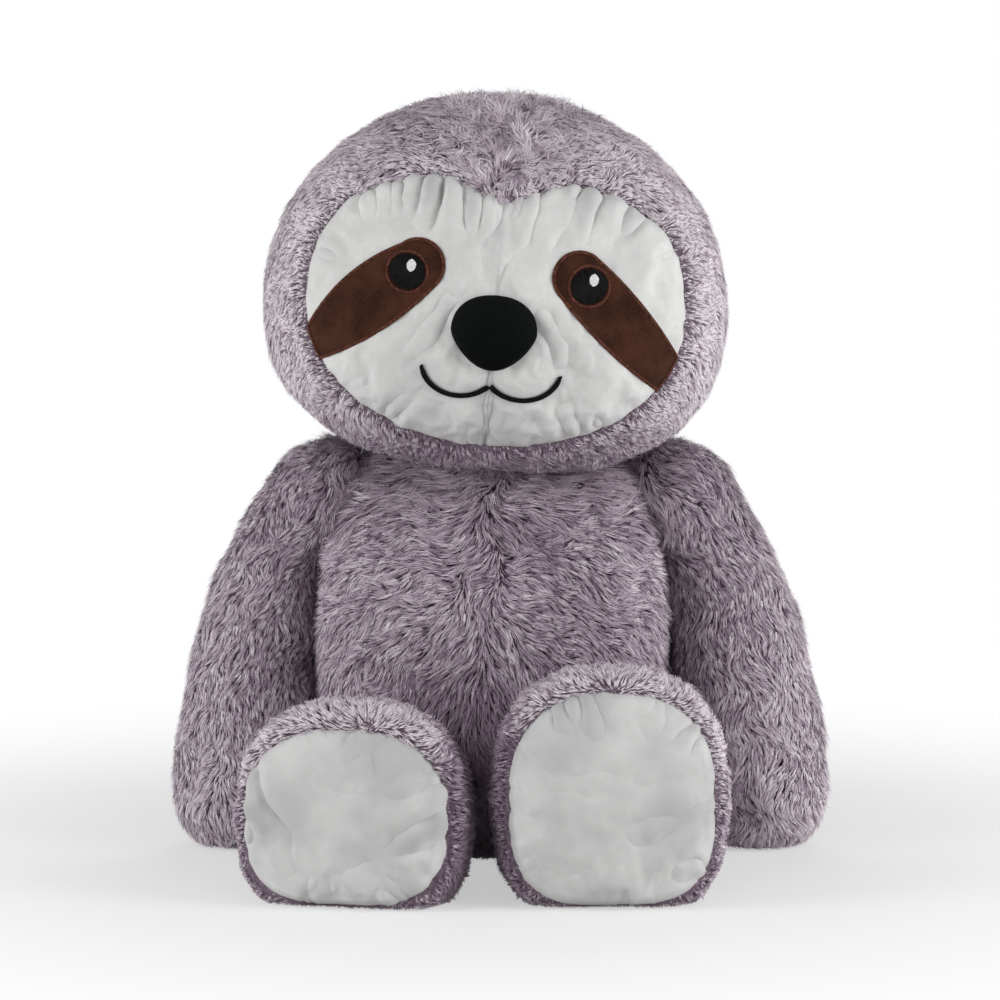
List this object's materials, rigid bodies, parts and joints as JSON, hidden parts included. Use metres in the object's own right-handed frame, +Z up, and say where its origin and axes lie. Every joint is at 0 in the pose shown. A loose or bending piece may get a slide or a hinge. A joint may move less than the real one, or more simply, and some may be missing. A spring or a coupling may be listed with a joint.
{
  "type": "weighted plush toy",
  "caption": "Seated weighted plush sloth with long fur, a smooth white face and soles, turning head, swinging arms and legs, and bead bags in the seat, hands and feet.",
  "frame": {"origin": "on the floor under the middle of the seat", "axes": "+Z up, +X to the toy's own left, and the toy faces -Y"},
  "size_m": [0.3404, 0.2928, 0.3934],
  "materials": {
    "grey_fur": "long-pile fur",
    "white_cotton": "smooth woven cotton",
    "brown_velour": "short velour",
    "black_cloth": "smooth knitted cloth",
    "black_thread": "satin-stitched thread",
    "white_thread": "satin-stitched thread",
    "grey_thread": "twisted thread",
    "stuffing": "loose polyester fibre",
    "bag_cloth": "plain woven cotton",
    "glass_beads": "loose glass beads"
  },
  "bodies": {
    "torso": {"torso_front_left": "grey_fur", "torso_front_right": "grey_fur", "torso_back_left": "grey_fur", "torso_back_right": "grey_fur", "torso_base": "grey_fur", "torso_stuffing": "stuffing", "seat_bead_bag": "bag_cloth", "seat_beads": "glass_beads"},
    "neck_seam": {"neck_seam_thread": "grey_thread"},
    "neck": {"neck_stuffing": "stuffing"},
    "head": {"hood_left": "grey_fur", "hood_right": "grey_fur", "head_back_left": "grey_fur", "head_back_right": "grey_fur", "face_left": "white_cotton", "face_right": "white_cotton", "head_stuffing": "stuffing", "eye_patch_left": "brown_velour", "eye_patch_right": "brown_velour", "pupil_left": "black_thread", "pupil_right": "black_thread", "eye_glint_left": "white_thread", "eye_glint_right": "white_thread", "mouth_left": "black_thread", "mouth_right": "black_thread", "nose_cover": "black_cloth", "nose_pad": "stuffing"},
    "shoulder_left": {"shoulder_stuffing_left": "stuffing"},
    "arm_left": {"arm_front_left": "grey_fur", "arm_back_left": "grey_fur", "arm_stuffing_left": "stuffing", "hand_bead_bag_left": "bag_cloth", "hand_beads_left": "glass_beads"},
    "shoulder_right": {"shoulder_stuffing_right": "stuffing"},
    "arm_right": {"arm_front_right": "grey_fur", "arm_back_right": "grey_fur", "arm_stuffing_right": "stuffing", "hand_bead_bag_right": "bag_cloth", "hand_beads_right": "glass_beads"},
    "hip_left": {"hip_stuffing_left": "stuffing"},
    "leg_left": {"leg_inner_left": "grey_fur", "leg_outer_left": "grey_fur", "foot_sole_left": "white_cotton", "leg_stuffing_left": "stuffing", "foot_bead_bag_left": "bag_cloth", "foot_beads_left": "glass_beads"},
    "hip_right": {"hip_stuffing_right": "stuffing"},
    "leg_right": {"leg_inner_right": "grey_fur", "leg_outer_right": "grey_fur", "foot_sole_right": "white_cotton", "leg_stuffing_right": "stuffing", "foot_bead_bag_right": "bag_cloth", "foot_beads_right": "glass_beads"}
  },
  "joints": [
    {"name": "head_turn", "type": "hinge", "parent": "torso", "child": "neck_seam", "pos_m": [-0.007, 0.005, 0.23], "axis": [0, 0, 1], "range_deg": [-30, 30], "stiffness_Nm_per_rad": 1.5},
    {"name": "head_tilt", "type": "hinge", "parent": "neck_seam", "child": "neck", "pos_m": [-0.007, 0.005, 0.23], "axis": [0, -1, 0], "range_deg": [-4, 12], "stiffness_Nm_per_rad": 5},
    {"name": "head_nod", "type": "hinge", "parent": "neck", "child": "head", "pos_m": [-0.007, 0.005, 0.23], "axis": [1, 0, 0], "range_deg": [-12, 6], "stiffness_Nm_per_rad": 5},
    {"name": "arm_swing_left", "type": "hinge", "parent": "torso", "child": "shoulder_left", "pos_m": [0.09257, 0.005, 0.18], "axis": [-1, 0, 0], "range_deg": [-25, 110]},
    {"name": "arm_lift_left", "type": "hinge", "parent": "shoulder_left", "child": "arm_left", "pos_m": [0.09257, 0.005, 0.18], "axis": [0, -1, 0], "range_deg": [0, 70]},
    {"name": "arm_swing_right", "type": "hinge", "parent": "torso", "child": "shoulder_right", "pos_m": [-0.09257, 0.005, 0.18], "axis": [-1, 0, 0], "range_deg": [-25, 110]},
    {"name": "arm_lift_right", "type": "hinge", "parent": "shoulder_right", "child": "arm_right", "pos_m": [-0.09257, 0.005, 0.18], "axis": [0, 1, 0], "range_deg": [0, 70]},
    {"name": "leg_raise_left", "type": "hinge", "parent": "torso", "child": "hip_left", "pos_m": [0.05, -0.078, 0.042], "axis": [-1, 0, 0], "range_deg": [-20, 35]},
    {"name": "leg_spread_left", "type": "hinge", "parent": "hip_left", "child": "leg_left", "pos_m": [0.05, -0.078, 0.042], "axis": [0, 0, 1], "range_deg": [-2, 25]},
    {"name": "leg_raise_right", "type": "hinge", "parent": "torso", "child": "hip_right", "pos_m": [-0.05, -0.078, 0.042], "axis": [-1, 0, 0], "range_deg": [-20, 35]},
    {"name": "leg_spread_right", "type": "hinge", "parent": "hip_right", "child": "leg_right", "pos_m": [-0.05, -0.078, 0.042], "axis": [0, 0, -1], "range_deg": [-2, 25]}
  ]
}
